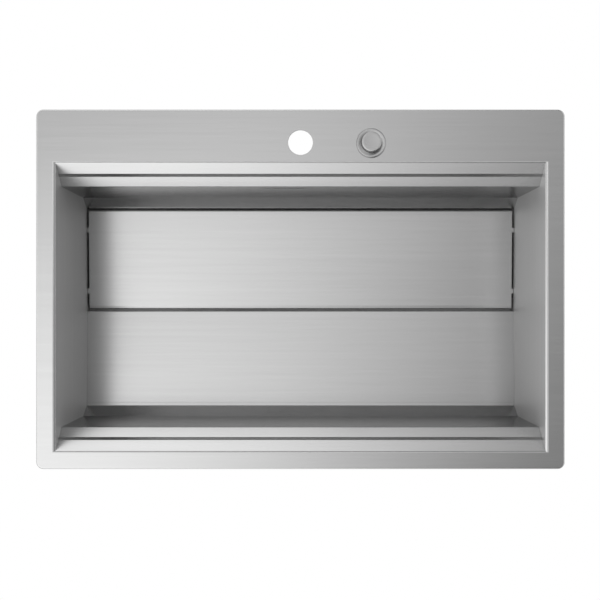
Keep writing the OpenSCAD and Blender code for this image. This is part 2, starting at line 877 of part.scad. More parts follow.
module clamp_hooks() {
    lip = deck_under - rail_h + rail_t;
    color(bright) at_clamps() difference() {
        translate([-3.3, -7, lip]) cube([6.6, 14, 5]);
        rod(clamp_screw_r + 0.05, lip - 1, lip + 6);
    }
}

module clamp_screws() {
    color(bright) at_clamps() {
        rod(clamp_screw_r, clamp_screw_end, deck_under - rail_h + rail_t + 5.5);
        difference() {
            rod(4.5, clamp_screw_end - 3, clamp_screw_end + 0.2);
            translate([-5, -0.6, clamp_screw_end - 4]) cube([10, 1.2, 2.4]);
        }
    }
}

module clamp_jaws() {
    inner = -4.5;
    t = 2;
    w = 20;
    z = jaw_top - 7;
    color(bright) at_clamps() difference() {
        union() {
            translate([inner, -w / 2, z]) cube([jaw_reach - inner, w, t]);
            translate([inner, -w / 2, z - 5]) cube([1.5, w, 6]);
            translate([jaw_reach - t, -w / 2, z]) cube([t, w, 7]);
        }
        rod(clamp_screw_r + 0.35, z - 1, z + t + 1);
        translate([jaw_reach - t - 1, -2, z + 4]) cube([t + 2, 4, 4]);
    }
}

module side_sound_pads() {
    color(pad_grey) for (side = [-1, 1])
        translate([side * (bowl_w / 2 + sheet_t + pad_t / 2), 0, -105]) rotate([90, 0, 90])
            linear_extrude(pad_t, center = true) rounded_rect(300, 90, 10);
}

module wall_sound_pads() {
    color(pad_grey) for (side = [-1, 1])
        translate([0, side * (wall_back + pad_t / 2), -115]) rotate([90, 0, 0])
            linear_extrude(pad_t, center = true) rounded_rect(520, 76, 10);
}

// Section of a pad that hangs below a line between two points
module slab(line) {
    polygon([line[0], line[1], line[1] - [0, pad_t], line[0] - [0, pad_t]]);
}

module floor_sound_pads() {
    // Pads follow the underside of the front floor and of the trough's two slopes
    floor_slope = (slit_z - floor_z) / (trough_front + foot_y);
    floor_t = sheet_t * sqrt(1 + floor_slope * floor_slope);
    pad_line = [for (y = [-140, -24]) [y, floor_z + (y + foot_y) * floor_slope - floor_t]];
    trough_slope = trough_fall / (trough_flat_x - trough_mid_x);
    trough_t = sheet_t * sqrt(1 + trough_slope * trough_slope);
    trough_line = [
        for (x = [110, 240]) [x, trough_low + (x - trough_mid_x) * trough_slope - trough_t]
    ];
    color(pad_grey) {
        extrude_x(520) slab(pad_line);
        for (side = [-1, 1]) translate([0, waste_y, 0]) rotate(side > 0 ? 0 : 180)
            extrude_y(130) slab(trough_line);
    }
}

deck_plate();
front_panel();
rear_panel();
front_floor();
trough_floor();
left_end_plate();
right_end_plate();
deck_stiffener();
clip_rails();
earth_tab();
drain_cover();
cover_legs();
cover_feet();
waste_cup();
cup_seal();
body_gasket();
waste_body();
outlet_spigot();
fixing_screw();
strainer_basket();
basket_seal();
basket_post();
lift_spindle();
spindle_seal();
lever_housing();
housing_cover();
housing_screws();
wire_end();
overflow_collector();
collector_gasket();
collector_screws();
overflow_hose();
hose_cuffs();
control_bezel();
push_button();
control_body();
control_gasket();
control_nut();
control_spring();
cable_sheath();
cable_ferrules();
rim_seal();
clamp_hooks();
clamp_screws();
clamp_jaws();
side_sound_pads();
wall_sound_pads();
floor_sound_pads();
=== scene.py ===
import math

import bmesh
import bpy
from mathutils import Matrix, Vector


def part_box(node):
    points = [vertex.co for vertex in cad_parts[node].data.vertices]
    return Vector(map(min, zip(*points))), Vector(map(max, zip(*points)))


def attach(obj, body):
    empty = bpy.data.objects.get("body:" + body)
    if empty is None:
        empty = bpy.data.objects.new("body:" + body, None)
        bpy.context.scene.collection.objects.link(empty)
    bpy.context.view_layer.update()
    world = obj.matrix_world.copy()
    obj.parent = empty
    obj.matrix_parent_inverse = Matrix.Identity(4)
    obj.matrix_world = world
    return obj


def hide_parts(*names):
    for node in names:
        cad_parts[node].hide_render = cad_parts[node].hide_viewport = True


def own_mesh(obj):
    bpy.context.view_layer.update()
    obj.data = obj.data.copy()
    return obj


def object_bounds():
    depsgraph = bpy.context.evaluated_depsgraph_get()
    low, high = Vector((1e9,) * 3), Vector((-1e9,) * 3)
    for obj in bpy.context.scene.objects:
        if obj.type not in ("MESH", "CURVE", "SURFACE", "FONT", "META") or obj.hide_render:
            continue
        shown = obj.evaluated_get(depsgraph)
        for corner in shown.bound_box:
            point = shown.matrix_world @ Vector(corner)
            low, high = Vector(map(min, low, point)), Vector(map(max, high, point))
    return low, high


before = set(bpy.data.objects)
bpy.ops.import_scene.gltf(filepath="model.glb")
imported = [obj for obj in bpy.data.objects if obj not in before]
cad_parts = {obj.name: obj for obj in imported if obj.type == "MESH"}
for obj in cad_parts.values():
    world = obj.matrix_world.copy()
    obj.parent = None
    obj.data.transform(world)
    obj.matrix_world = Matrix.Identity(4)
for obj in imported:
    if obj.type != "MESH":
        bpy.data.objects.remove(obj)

cad_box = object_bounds()

# --- Deck plate ---
# The flat frame round the bowl, with the wide tap deck at the rear. It is laser cut from 1.5 mm
# stainless sheet, folded down at its outer edge, welded to the bowl and belt-ground flush.
mm = 0.001
deck_low, deck_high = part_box("deck_plate")
deck_edge_radius = 2.5 * mm
opening_side_radius = 1.4 * mm
opening_side_roll = 4.5 * mm
opening_bevel_radius = 0.8 * mm
opening_roll_power = 1.6
hole_radius = 0.3 * mm
same_place, merged = 0.01 * mm, 0.002 * mm
opening_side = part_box("front_panel")[1].x


class Value:
    """One output of a finish. Calculating with it adds Math nodes."""

    def __init__(self, finish, socket):
        self.finish = finish
        self.socket = socket

    def math(self, operation, first, second):
        return self.finish.node("Math", {"operation": operation}, {0: first, 1: second})

    def __add__(self, other):
        return self.math("ADD", self, other)

    def __radd__(self, other):
        return self.math("ADD", other, self)

    def __sub__(self, other):
        return self.math("SUBTRACT", self, other)

    def __rsub__(self, other):
        return self.math("SUBTRACT", other, self)

    def __mul__(self, other):
        return self.math("MULTIPLY", self, other)

    def __rmul__(self, other):
        return self.math("MULTIPLY", other, self)

    def __rpow__(self, other):
        return self.math("POWER", other, self)


class Nodes:
    """The nodes of a finish or of the light."""

    def __init__(self, tree):
        self.tree = tree

    def node(self, kind, settings, sockets, output=0):
        made = self.tree.nodes.new("ShaderNode" + kind)
        for setting, value in settings.items():
            setattr(made, setting, value)
        for socket, value in sockets.items():
            self.feed(made.inputs[socket], value)
        return Value(self, made.outputs[output]) if made.outputs else None

    def feed(self, socket, value):
        if isinstance(value, Value):
            self.tree.links.new(value.socket, socket)
        else:
            socket.default_value = value


class Finish(Nodes):
    """A material on one Principled shader, whose own even values are set directly."""

    def __init__(self, name, shader):
        self.material = bpy.data.materials.new(name)
        self.material.use_nodes = True
        super().__init__(self.material.node_tree)
        self.shader = self.tree.nodes["Principled BSDF"]
        self.set(shader)

    def set(self, sockets):
        for socket, value in sockets.items():
            self.feed(self.shader.inputs[socket], value)

    def grain(self, stretch, detail=2.0):
        """Noise from 0 to 1 on the piece, with its features per metre along X, Y and Z."""
        spot = self.stretched(stretch)
        return self.node("TexNoise", {}, {"Vector": spot, "Scale": 1.0, "Detail": detail})

    def stretched(self, stretch):
        """The place on the piece, times stretch along X, Y and Z."""
        spot = self.node("TexCoord", {}, {}, "Object")
        return self.node("VectorMath", {"operation": "MULTIPLY"}, {0: spot, 1: stretch})

    def between(self, share, dark, light):
        """A colour between two others."""
        ends = {0: share, 6: (*dark, 1.0), 7: (*light, 1.0)}
        return self.node("Mix", {"data_type": "RGBA"}, ends, 2)

    def relief(self, height, depth, strength=1.0):
        """Normal of a surface that rises by depth metres where height is 1."""
        return self.node("Bump", {}, {"Strength": strength, "Distance": depth, "Height": height})


def ground_steel(name, stroke, tone, roughness, glance, metallic=1.0):
    """Stainless sheet ground with a belt along one axis. glance is its shine at a low angle."""
    finish = Finish(name, {"Metallic": metallic, "Specular Tint": (glance, glance, glance, 1.0)})
    fine_across, broad_across = 1500.0, 160.0
    fine = finish.grain([14.0 if axis == stroke else fine_across for axis in "XYZ"])
    broad = finish.grain([3.0 if axis == stroke else broad_across for axis in "XYZ"])
    clouds = finish.grain((6.0, 6.0, 6.0), 3.0)
    share = fine * 0.5 + broad * 0.35 + clouds * 0.15
    dark = [0.90 * tone] * 3
    light = [1.10 * tone] * 3
    finish.set({
        "Base Color": finish.between(share, dark, light),
        "Roughness": roughness - 0.05 + 0.05 * fine + 0.05 * clouds,
        "Normal": finish.relief(fine, 0.004 * mm),
    })
    return finish.material


def smooth(obj, steep=40):
    """Shades a piece evenly, apart from its sharp edges."""
    obj.data.polygons.foreach_set("use_smooth", [True] * len(obj.data.polygons))
    obj.data.set_sharp_from_angle(angle=math.radians(steep))
    return obj


def weighted(obj):
    """Lets the large faces of a piece set the shading of the narrow ones beside them."""
    shading = obj.modifiers.new("shading", "WEIGHTED_NORMAL")
    shading.keep_sharp = True
    return obj


def refined(obj, edge, segments=2, steep=35):
    """Rounds the sharp edges of a piece by a small radius and evens its shading."""
    weld = obj.modifiers.new("weld", "WELD")
    weld.merge_threshold = merged
    rounding = obj.modifiers.new("rounding", "BEVEL")
    rounding.limit_method = "ANGLE"
    rounding.angle_limit = math.radians(steep)
    rounding.width = edge
    rounding.segments = segments
    rounding.harden_normals = False
    weighted(obj)
    obj.data.polygons.foreach_set("use_smooth", [True] * len(obj.data.polygons))
    return obj


def piece(name, bm, material):
    """Turns finished mesh work into an object."""
    bmesh.ops.recalc_face_normals(bm, faces=bm.faces)
    mesh = bpy.data.meshes.new(name)
    bm.to_mesh(mesh)
    bm.free()
    mesh.materials.append(material)
    obj = bpy.data.objects.new(name, mesh)
    bpy.context.scene.collection.objects.link(obj)
    return obj


def copied(node, rounds):
    """Mesh work that starts from a CAD node, with chosen sharp edges rolled to a radius."""
    bm = bmesh.new()
    bm.from_mesh(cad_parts[node].data)
    bmesh.ops.remove_doubles(bm, verts=bm.verts, dist=merged)
    bmesh.ops.dissolve_limit(
        bm, angle_limit=math.radians(0.5), verts=bm.verts[:], edges=bm.edges[:])
    for chosen, radius, segments in rounds:
        sharp = [e for e in bm.edges
                 if e.is_manifold and e.calc_face_angle() > math.radians(30) and chosen(e)]
        bmesh.ops.bevel(
            bm, geom=sharp, offset=radius, segments=segments, profile=0.5, affect="EDGES",
            clamp_overlap=True)
    return bm


def at_deck_top(edge):
    return all(abs(v.co.z - deck_high.z) < same_place for v in edge.verts)


def on_outer_edge(edge):
    middle = (edge.verts[0].co + edge.verts[1].co) / 2
    near_x = min(middle.x - deck_low.x, deck_high.x - middle.x)
    near_y = min(middle.y - deck_low.y, deck_high.y - middle.y)
    corner = 10 * mm
    at_border = min(near_x, near_y) < 5 * same_place
    return at_deck_top(edge) and (at_border or (near_x < corner and near_y < corner))


def on_opening_side(edge):
    at_side = all(abs(abs(v.co.x) - opening_side) < same_place for v in edge.verts)
    return at_deck_top(edge) and at_side


def on_opening_bevel(edge):
    first, second = (vert.co for vert in edge.verts)
    shortest_side = 300 * mm
    along_x = abs(first.y - second.y) < same_place and edge.calc_length() > shortest_side
    return at_deck_top(edge) and along_x and abs(first.x) < opening_side + mm


def on_hole(edge):
    longest_facet = 3 * mm
    return edge.calc_length() < longest_facet and not on_outer_edge(edge)


belt_ground = {"tone": 0.52, "roughness": 0.24, "glance": 0.7}
deck_steel = ground_steel("deck_steel", "X", **belt_ground)
deck_work = copied("deck_plate", [
    (on_outer_edge, deck_edge_radius, 6),
    (on_opening_side, opening_side_radius, 8),
    (on_opening_bevel, opening_bevel_radius, 4),
    (on_hole, hole_radius, 2),
])
slack = 0.001
roll_low = deck_high.z - (1 + slack) * opening_side_radius
for vert in deck_work.verts:
    share = (abs(vert.co.x) - opening_side) / opening_side_radius
    if -slack < share < 1 + slack and vert.co.z > roll_low:
        share = min(max(share, 0.0), 1.0)
        vert.co.x = math.copysign(opening_side + share * opening_side_roll, vert.co.x)
        vert.co.z = deck_high.z - opening_side_radius * (1 - share) ** opening_roll_power
deck = weighted(smooth(piece("deck", deck_work, deck_steel)))
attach(deck, "sink")
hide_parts("deck_plate")

# --- Front and rear panels ---
# Each is one strip of 1.2 mm stainless sheet, folded on a press brake into the top bevel, the
# small step, the sloping ledge, the upright wall and its slanted foot. The rear one runs on down
# into the drain trough and has the overflow slot cut through it.
sheet = 1.2 * mm
sheet_edge = 0.15 * mm
fold_inside_radius = 0.8 * mm
bevel_run, bevel_drop = 14.5 * mm, 14 * mm
step_run, step_height = 3.2 * mm, 7 * mm
ledge_slope = 12.8 * mm
foot_run, foot_height = 14.5 * mm, 24 * mm
floor_joint = 5 * mm
front_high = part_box("front_floor")[1]
rear_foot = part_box("rear_panel")[0].y
trough_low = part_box("rear_panel")[0].z
panel_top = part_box("rear_panel")[1].z
floor_edge = front_high.z
slit_y = front_high.y
floor_fall = 5 * mm
slot_centre = Vector((-22 * mm, -50 * mm))
slot_width, slot_height = 60 * mm, 8 * mm


def folded(corners, thickness, insides):
    """The show face of a sheet through corners, with an arc at each bend of its inside radius."""
    line = [corners[0]]
    for before, corner, after, inside in zip(corners, corners[1:], corners[2:], insides):
        back = (before - corner).normalized()
        ahead = (after - corner).normalized()
        turn = math.atan2(-back.cross(ahead), -back.dot(ahead))
        if abs(turn) < math.radians(1):
            line.append(corner)
            continue
        radius = inside + thickness if turn > 0 else inside
        start = corner + back * radius * math.tan(abs(turn) / 2)
        centre = corner + (back + ahead).normalized() * radius / math.cos(turn / 2)
        steps = max(3, round(abs(math.degrees(turn)) / 12))
        for i in range(steps + 1):
            line.append(centre + Matrix.Rotation(turn * i / steps, 2) @ (start - centre))
    line.append(corners[-1])
    return line


def sheet_work(corners, thickness, insides, x_low, x_high):
    """A folded sheet along X, on the left of its show face, whose corners are in Y and Z."""
    show = folded(corners, thickness, insides)
    hidden = []
    for i, point in enumerate(show):
        before = (point - show[max(i - 1, 0)]) if i else (show[1] - point)
        after = (show[i + 1] - point) if i + 1 < len(show) else before
        normals = [Vector((-d.y, d.x)).normalized() for d in (before, after)]
        both = normals[0] + normals[1]
        hidden.append(point + both * thickness / (1 + normals[0].dot(normals[1])))
    bm = bmesh.new()
    rows = [[bm.verts.new((x, p.x, p.y)) for p in show + hidden[::-1]] for x in (x_low, x_high)]
    count = len(show)
    around = list(range(2 * count))
    for i in around:
        j = (i + 1) % (2 * count)
        bm.faces.new([rows[0][i], rows[0][j], rows[1][j], rows[1][i]])
    for row in rows:
        for i in range(count - 1):
            bm.faces.new([row[i], row[i + 1], row[2 * count - 2 - i], row[2 * count - 1 - i]])
    bmesh.ops.recalc_face_normals(bm, faces=bm.faces)
    return bm


def cut(target, tool):
    """Cuts one piece with another and throws the tool away."""
    chop = target.modifiers.new("cut", "BOOLEAN")
    chop.object = tool
    chop.solver = "EXACT"
    bpy.context.view_layer.update()
    done = target.evaluated_get(bpy.context.evaluated_depsgraph_get())
    mesh = bpy.data.meshes.new_from_object(done)
    target.modifiers.remove(chop)
    target.data = mesh
    bpy.data.objects.remove(tool)


wall_y = rear_foot + foot_run
slope_y = wall_y + ledge_slope
ledge_y = slope_y + step_run
ledge_z = deck_high.z - bevel_drop
opening_y = ledge_y + bevel_run
start_y = opening_y - (deck_high.z - panel_top) * bevel_run / bevel_drop
wall_corners = [
    Vector((start_y, panel_top)),
    Vector((ledge_y, ledge_z)),
    Vector((slope_y, ledge_z - step_height)),
    Vector((wall_y, ledge_z - step_height - ledge_slope)),
    Vector((wall_y, floor_edge + foot_height)),
    Vector((rear_foot, floor_edge)),
]
front_corners = [Vector((-c.x, c.y)) for c in wall_corners]
floor_slope = floor_fall / (slit_y - front_corners[-1].x)
joint_point = front_corners[-1] + Vector((floor_joint, -floor_joint * floor_slope))
fold_insides = [fold_inside_radius] * len(wall_corners)

wall_steel = ground_steel("wall_steel", "X", **belt_ground)
front_panel = piece("front_fold", sheet_work(
    [joint_point, *front_corners[::-1]], sheet, fold_insides, -opening_side, opening_side),
    wall_steel)
refined(front_panel, sheet_edge, 2, 40)
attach(front_panel, "sink")
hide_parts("front_panel")

rear_panel = piece("rear_fold", sheet_work(
    wall_corners + [Vector((rear_foot, trough_low))], sheet, fold_insides,
    -opening_side, opening_side), wall_steel)
slot_tool = bmesh.new()
slot_rim = []
slot_sides, slot_reach = 24, (-3 * mm, 4 * mm)
for i in range(slot_sides):
    turn = math.radians(360 * (i + 0.5) / slot_sides)
    side = 1 if math.cos(turn) > 0 else -1
    slot_rim.append((side * (slot_width - slot_height) / 2 + math.cos(turn) * slot_height / 2,
                     math.sin(turn) * slot_height / 2))
slot_ends = [[slot_tool.verts.new((slot_centre.x + x, wall_y + reach, slot_centre.y + z))
              for x, z in slot_rim] for reach in slot_reach]
slot_tool.faces.new(slot_ends[0])
slot_tool.faces.new(slot_ends[1])
for i in range(slot_sides):
    j = (i + 1) % slot_sides
    slot_tool.faces.new([slot_ends[0][i], slot_ends[0][j], slot_ends[1][j], slot_ends[1][i]])
cut(rear_panel, piece("slot_tool", slot_tool, wall_steel))
refined(rear_panel, sheet_edge, 2, 40)
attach(rear_panel, "sink")
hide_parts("rear_panel")

# --- Front floor ---
# The fixed half of the bowl's floor: 1.2 mm stainless sheet that falls to the slit, where it is
# folded down to make the front of the drain trough. It is welded to the front panel.
floor_steel = ground_steel("floor_steel", "X", **belt_ground)
front_floor = piece("front_floor_sheet", sheet_work(
    [Vector((slit_y, trough_low)), Vector((slit_y, floor_edge - floor_fall)), joint_point],
    sheet, fold_insides, -opening_side, opening_side), floor_steel)
refined(front_floor, sheet_edge, 2, 40)
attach(front_floor, "sink")
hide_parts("front_floor")

# --- Trough floor ---
# The sunk floor under the drain cover. It is pressed from 1.2 mm stainless sheet, falls to the
# middle from both ends, and has the round pressed seat that the waste is clamped to.
trough_steel = ground_steel("trough_steel", "X", tone=0.26, roughness=0.36, glance=0.5)
seat_facet, seat_radius = 8 * mm, 0.5 * mm
trough = weighted(smooth(piece("trough_pressing", copied("trough_floor", [
    (lambda edge: edge.calc_length() < seat_facet, seat_radius, 3),
]), trough_steel)))
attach(trough, "sink")
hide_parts("trough_floor")

# --- End plates ---
# Two flat plates of 1.2 mm stainless sheet, cut to the section of the bowl and welded to the
# ends of the folded panels, the floor and the trough.
end_steel = ground_steel("end_steel", "Y", tone=0.48, roughness=0.50, glance=0.8, metallic=0.5)
for side in ("left", "right"):
    plate = piece(side + "_end", copied(side + "_end_plate", []), end_steel)
    refined(plate, 0.3 * mm, 3, 20)
    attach(plate, "sink")
    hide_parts(side + "_end_plate")

# --- Deck stiffener, clip rails and earth tab ---
# The parts welded under the flange: a 2 mm plate that keeps the tap deck stiff, open channels
# that the clamps hook into, and an angle tab for the earth bolt. All are galvanised steel.
fold_edge = 0.3 * mm


def dressed(node, finish, edge, segments=2, steep=35):
    """Gives a CAD node its finish and rounds its edges."""
    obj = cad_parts[node]
    obj.data.materials.clear()
    obj.data.materials.append(finish)
    return refined(obj, edge, segments, steep)


zinc_coat = Finish("zinc_coat", {"Metallic": 1.0})
flake_place = zinc_coat.stretched((190.0, 190.0, 190.0))
flake_tint = zinc_coat.node("TexVoronoi", {"feature": "F1"}, {"Vector": flake_place, "Scale": 1.0},
                            "Color")
flakes = zinc_coat.node("SeparateColor", {}, {0: flake_tint})
zinc_clouds = zinc_coat.grain((25.0, 25.0, 25.0), 4.0)
zinc_coat.set({
    "Base Color": zinc_coat.between(flakes * 0.6 + zinc_clouds * 0.4, (0.36, 0.38, 0.40),
                                    (0.58, 0.60, 0.61)),
    "Roughness": 0.34 + 0.16 * flakes + 0.08 * zinc_clouds,
    "Normal": zinc_coat.relief(zinc_clouds, 0.03 * mm, 0.5),
})
for node in ("deck_stiffener", "clip_rails", "earth_tab"):
    dressed(node, zinc_coat.material, fold_edge)

# --- Sound pads ---
# Self-adhesive bitumen-rubber mats, 2 mm thick, stuck to the outside of the walls and under the
# floor to deaden the ring of the steel. Their faces are embossed with small studs.
pad_edge = 0.5 * mm
stud_pitch = 5 * mm
stud_rise = 0.35 * mm

pad_rubber = Finish("pad_rubber", {"Specular IOR Level": 0.35})
stud_count = 1 / stud_pitch
stud_place = pad_rubber.stretched((stud_count, stud_count, stud_count))
stud_distance = pad_rubber.node("TexVoronoi", {"feature": "F1"},
                                {"Vector": stud_place, "Scale": 1.0, "Randomness": 0.0})
studs = pad_rubber.node("MapRange", {"interpolation_type": "SMOOTHSTEP"},
                        {"Value": stud_distance, "From Min": 0.25, "From Max": 0.42,
                         "To Min": 1.0, "To Max": 0.0})
pad_dust = pad_rubber.grain((60.0, 60.0, 60.0), 5.0)
pad_grit = pad_rubber.grain((2500.0, 2500.0, 2500.0))
pad_rubber.set({
    "Base Color": pad_rubber.between(pad_dust, (0.035, 0.036, 0.038), (0.075, 0.078, 0.082)),
    "Roughness": 0.62 + 0.25 * pad_grit,
    "Normal": pad_rubber.relief(studs + 0.08 * pad_grit, stud_rise, 0.8),
})
for node in ("side_sound_pads", "wall_sound_pads", "floor_sound_pads"):
    dressed(node, pad_rubber.material, pad_edge, 3)

# --- Waste cup, its seal and its gasket ---
# A polished stainless cup, pressed from 1.2 mm sheet and perforated round its middle. Its rolled
# flange sits in the trough's seat on a rubber ring, and a second ring seals the body below.
cup_edge = 0.35 * mm
seal_edge = 0.3 * mm


def polished_steel(name, tone, roughness, warmth=0.0):
    """Pressed or turned metal with a fine even shine and faint marks of handling."""
    finish = Finish(name, {"Metallic": 1.0, "Specular Tint": (0.8, 0.8, 0.8, 1.0)})
    fine = finish.grain((900.0, 900.0, 900.0), 3.0)
    clouds = finish.grain((45.0, 45.0, 45.0), 3.0)
    dark = (0.92 * tone, 0.92 * tone, (0.92 - warmth) * tone)
    light = (1.08 * tone, 1.08 * tone, (1.08 - warmth) * tone)
    finish.set({
        "Base Color": finish.between(0.5 * fine + 0.5 * clouds, dark, light),
        "Roughness": roughness - 0.06 + 0.06 * fine + 0.06 * clouds,
        "Normal": finish.relief(fine, 0.004 * mm),
    })
    return finish.material


def moulded(name, tone, roughness, pores, depth):
    """Moulded rubber or plastic, with pores per metre and their depth in its skin."""
    finish = Finish(name, {"Specular IOR Level": 0.4})
    skin = finish.grain((pores, pores, pores), 3.0)
    clouds = finish.grain((35.0, 35.0, 35.0), 3.0)
    dark = [0.82 * level for level in tone]
    light = [1.18 * level for level in tone]
    finish.set({
        "Base Color": finish.between(0.35 * skin + 0.65 * clouds, dark, light),
        "Roughness": roughness - 0.1 + 0.1 * skin + 0.1 * clouds,
        "Normal": finish.relief(skin, depth),
    })
    return finish.material


bright_steel = polished_steel("bright_steel", 0.55, 0.17)
black_rubber = moulded("black_rubber", (0.030, 0.030, 0.031), 0.62, 1800.0, 0.02 * mm)
dressed("waste_cup", bright_steel, cup_edge, 3)
dressed("cup_seal", black_rubber, seal_edge)
dressed("body_gasket", black_rubber, seal_edge)

# --- Waste body ---
# The black moulded body that hangs under the trough. It has ribs that carry the fixing screw's
# boss, a gland for the lift spindle and a port for the overflow hose.
body_edge = 0.6 * mm

black_plastic = moulded("black_plastic", (0.020, 0.020, 0.022), 0.42, 900.0, 0.02 * mm)
dressed("waste_body", black_plastic, body_edge, 3)

# --- Outlet spigot ---
# The outlet under the waste body, moulded in the same black plastic. Its collar lies against
# the body, and its pipe thread takes the nut of a trap.
outlet_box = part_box("outlet_spigot")
outlet_middle = (outlet_box[0] + outlet_box[1]) / 2
outlet_radius, outlet_bore = 23.9 * mm, 20.5 * mm
collar_radius, collar_height = 28 * mm, 3 * mm
outlet_pitch, outlet_thread_depth = 2.309 * mm, 1.2 * mm
rows_per_turn = 6


def turned(outline, sides=96):
    """Lathe work about Z, from a closed outline of radius and height."""
    bm = bmesh.new()
    rings = []
    for i in range(sides):
        turn = math.tau * i / sides
        rings.append([bm.verts.new((r * math.cos(turn), r * math.sin(turn), z))
                      for r, z in outline])
    for ring, following in zip(rings, rings[1:] + rings[:1]):
        for i in range(len(outline)):
            j = (i + 1) % len(outline)
            bm.faces.new([ring[i], following[i], following[j], ring[j]])
    bmesh.ops.remove_doubles(bm, verts=bm.verts, dist=0.001 * mm)
    loose = [edge for edge in bm.edges if not edge.link_faces]
    bmesh.ops.delete(bm, geom=loose, context="EDGES")
    return bm


def thread_rows(radius, low, high, pitch):
    """Outline points up a shank, close enough together for a thread."""
    count = round((high - low) / pitch * rows_per_turn)
    return [(radius, low + (high - low) * i / count) for i in range(count + 1)]


def cut_thread(bm, radius, low, high, pitch, depth):
    """Sinks a helical groove into a shank, fading out over the first and last turn."""
    for vert in bm.verts:
        reach = math.hypot(vert.co.x, vert.co.y)
        if abs(reach - radius) > 0.001 * mm or not low < vert.co.z < high:
            continue
        turn = math.atan2(vert.co.y, vert.co.x) / math.tau
        wave = 0.5 - 0.5 * math.cos(math.tau * (vert.co.z / pitch - turn))
        fade = min(1.0, (vert.co.z - low) / pitch, (high - vert.co.z) / pitch)
        vert.co.xy *= 1 - depth * wave * fade / reach


outlet_low, outlet_top = outlet_box[0].z, outlet_box[1].z
collar_under = outlet_top - collar_height
lead_in, collar_break = 0.8 * mm, 0.4 * mm
spigot_work = turned([
    (outlet_bore, outlet_low), (outlet_radius - lead_in, outlet_low),
    *thread_rows(outlet_radius, outlet_low + lead_in, collar_under, outlet_pitch),
    (collar_radius - collar_break, collar_under), (collar_radius, collar_under + collar_break),
    (collar_radius, outlet_top), (outlet_bore, outlet_top)])
cut_thread(spigot_work, outlet_radius, outlet_low + lead_in, collar_under - mm, outlet_pitch,
           outlet_thread_depth)
bmesh.ops.translate(spigot_work, verts=spigot_work.verts,
                    vec=(outlet_middle.x, outlet_middle.y, 0))
spigot = smooth(piece("threaded_outlet", spigot_work, black_plastic))
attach(spigot, "sink")
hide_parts("outlet_spigot")

# --- Fixing screw ---
# The hollow stainless screw that clamps the cup, the trough and the body together. The basket's
# lift pin slides in its bore, and a coin fits the slot in its head.
screw_edge = 0.2 * mm
dressed("fixing_screw", bright_steel, screw_edge)

# --- Lift spindle and its housing ---
# The steel spindle carries the finger under the lift pin and the crank for the cable. It turns
# on an O-ring in the body's gland and in a black moulded housing with a screwed cover.
small_edge = 0.25 * mm
housing_edge = 0.5 * mm

plain_steel = polished_steel("plain_steel", 0.50, 0.30)
for node in ("lift_spindle", "housing_screws", "wire_end"):
    dressed(node, plain_steel, small_edge)
dressed("spindle_seal", black_rubber, small_edge)
dressed("lever_housing", black_plastic, housing_edge, 3)
dressed("housing_cover", black_plastic, housing_edge, 3)

# --- Strainer basket ---
# The slotted basket is pressed from 0.8 mm stainless sheet. A rubber washer under it closes the
# waste, and its post has a knob on top and the lift pin below.
basket_edge = 0.2 * mm
dressed("strainer_basket", bright_steel, basket_edge)
dressed("basket_seal", black_rubber, seal_edge)
dressed("basket_post", bright_steel, cup_edge, 3)

# --- Overflow collector ---
# A black moulded box over the back of the overflow slot. Two slotted screws pull it against a
# rubber gasket, and a short spigot under it takes the hose.
dressed("overflow_collector", black_plastic, 1.0 * mm, 4)
dressed("collector_gasket", black_rubber, small_edge)
dressed("collector_screws", plain_steel, small_edge)

# --- Overflow hose and its cuffs ---
# A corrugated polypropylene hose, 18 mm outside, from the collector down to the waste body. A
# ribbed rubber cuff grips it at each end.
hose_radius = 9 * mm
hose_pitch, hose_groove = 3.2 * mm, 1.3 * mm
cuff_radius, cuff_bore, cuff_length = 11 * mm, 7 * mm, 16 * mm
hose_route = [Vector(point) * mm for point in (
    (-22, 197.7, -92), (-22, 198.7, -112), (-22, 208, -150), (-21, 213, -190),
    (-18, 208, -226), (-12, 190, -250), (-5, 172, -262), (0, 154.75, -262))]


def along_route(route, spacing):
    """Places at an even spacing on a smooth curve through a route's points."""
    fine_steps = 60
    curve = []
    for i in range(len(route) - 1):
        a, b, c, d = (route[min(max(i + k, 0), len(route) - 1)] for k in (-1, 0, 1, 2))
        for k in range(fine_steps):
            u = k / fine_steps
            curve.append(0.5 * (2 * b + (c - a) * u + (2 * a - 5 * b + 4 * c - d) * u ** 2
                                + (3 * b - a - 3 * c + d) * u ** 3))
    curve.append(route[-1])
    reach = [0.0]
    for before, after in zip(curve, curve[1:]):
        reach.append(reach[-1] + (after - before).length)
    count = round(reach[-1] / spacing)
    places = []
    at = 0
    for i in range(count + 1):
        wanted = reach[-1] * i / count
        while at < len(reach) - 2 and reach[at + 1] < wanted:
            at += 1
        share = (wanted - reach[at]) / (reach[at + 1] - reach[at])
        places.append(curve[at].lerp(curve[at + 1], share))
    return places


def drawn(places, radius_at, sides):
    """A closed round tube along places, whose radius may change with the distance along it."""
    bm = bmesh.new()
    rings = []
    reach = 0.0
    across = Vector((1.0, 0.1, 0.0))
    for i, place in enumerate(places):
        before, after = places[max(i - 1, 0)], places[min(i + 1, len(places) - 1)]
        heading = (after - before).normalized()
        across = (across - across.dot(heading) * heading).normalized()
        upward = heading.cross(across)
        reach += (place - before).length
        ring = []
        for k in range(sides):
            turn = math.tau * k / sides
            out = math.cos(turn) * across + math.sin(turn) * upward
            ring.append(bm.verts.new(place + radius_at(reach) * out))
        rings.append(ring)
    for ring, following in zip(rings, rings[1:]):
        for k in range(sides):
            n = (k + 1) % sides
            bm.faces.new([ring[k], ring[n], following[n], following[k]])
    bm.faces.new(rings[0])
    bm.faces.new(rings[-1])
    return bm


def hose_outside(reach):
    return hose_radius - hose_groove * (0.5 - 0.5 * math.cos(math.tau * reach / hose_pitch)) ** 1.5


